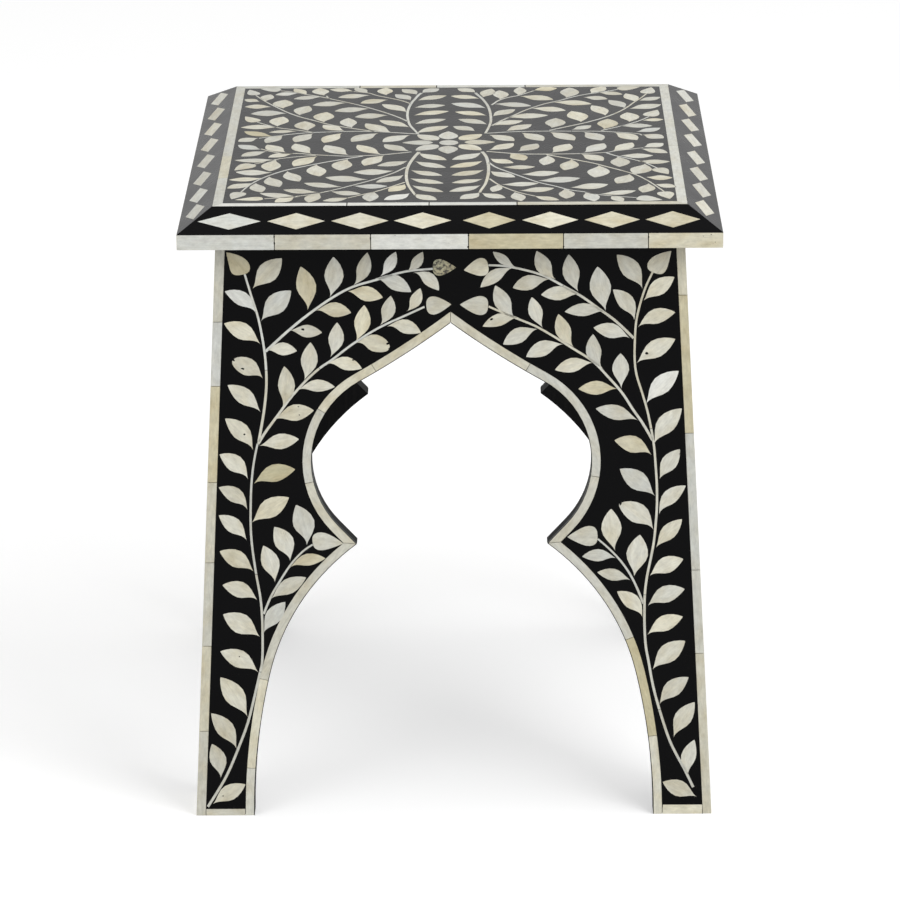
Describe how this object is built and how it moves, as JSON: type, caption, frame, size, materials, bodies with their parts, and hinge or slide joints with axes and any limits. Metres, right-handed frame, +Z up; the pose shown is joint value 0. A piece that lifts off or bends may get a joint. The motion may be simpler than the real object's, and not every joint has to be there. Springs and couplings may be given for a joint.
{
  "type": "kursi stool",
  "caption": "Square low stool or side table: bevelled top on four splayed panels with cusped keel arches, black resin with bone inlay.",
  "frame": {"origin": "on the floor under the middle of the top", "axes": "+Z up, front panel facing -Y, +X to the right seen from the front"},
  "size_m": [0.38, 0.38, 0.455],
  "materials": {
    "painted_wood": "painted black, satin",
    "black_resin": "cast and sanded flush, semi-gloss",
    "bone": "sanded and polished bone",
    "screw_steel": "zinc plated"
  },
  "bodies": {
    "root": {"top_board": "painted_wood", "top_field": "black_resin", "cleat_screws": "screw_steel", "top_border_front": "bone", "rim_band_front": "bone", "bevel_facing_front": "black_resin", "bevel_lozenges_front": "bone", "panel_core_front": "painted_wood", "panel_facing_front": "black_resin", "edge_strips_front": "bone", "foot_strips_front": "bone", "arch_band_front": "bone", "top_cleat_front": "painted_wood", "top_border_right": "bone", "rim_band_right": "bone", "bevel_facing_right": "black_resin", "bevel_lozenges_right": "bone", "panel_core_right": "painted_wood", "panel_facing_right": "black_resin", "edge_strips_right": "bone", "foot_strips_right": "bone", "arch_band_right": "bone", "top_cleat_right": "painted_wood", "top_border_back": "bone", "rim_band_back": "bone", "bevel_facing_back": "black_resin", "bevel_lozenges_back": "bone", "panel_core_back": "painted_wood", "panel_facing_back": "black_resin", "edge_strips_back": "bone", "foot_strips_back": "bone", "arch_band_back": "bone", "top_cleat_back": "painted_wood", "top_border_left": "bone", "rim_band_left": "bone", "bevel_facing_left": "black_resin", "bevel_lozenges_left": "bone", "panel_core_left": "painted_wood", "panel_facing_left": "black_resin", "edge_strips_left": "bone", "foot_strips_left": "bone", "arch_band_left": "bone", "top_cleat_left": "painted_wood", "corner_block_front_left": "painted_wood", "corner_block_front_right": "painted_wood", "corner_block_back_right": "painted_wood", "corner_block_back_left": "painted_wood"}
  },
  "joints": []
}
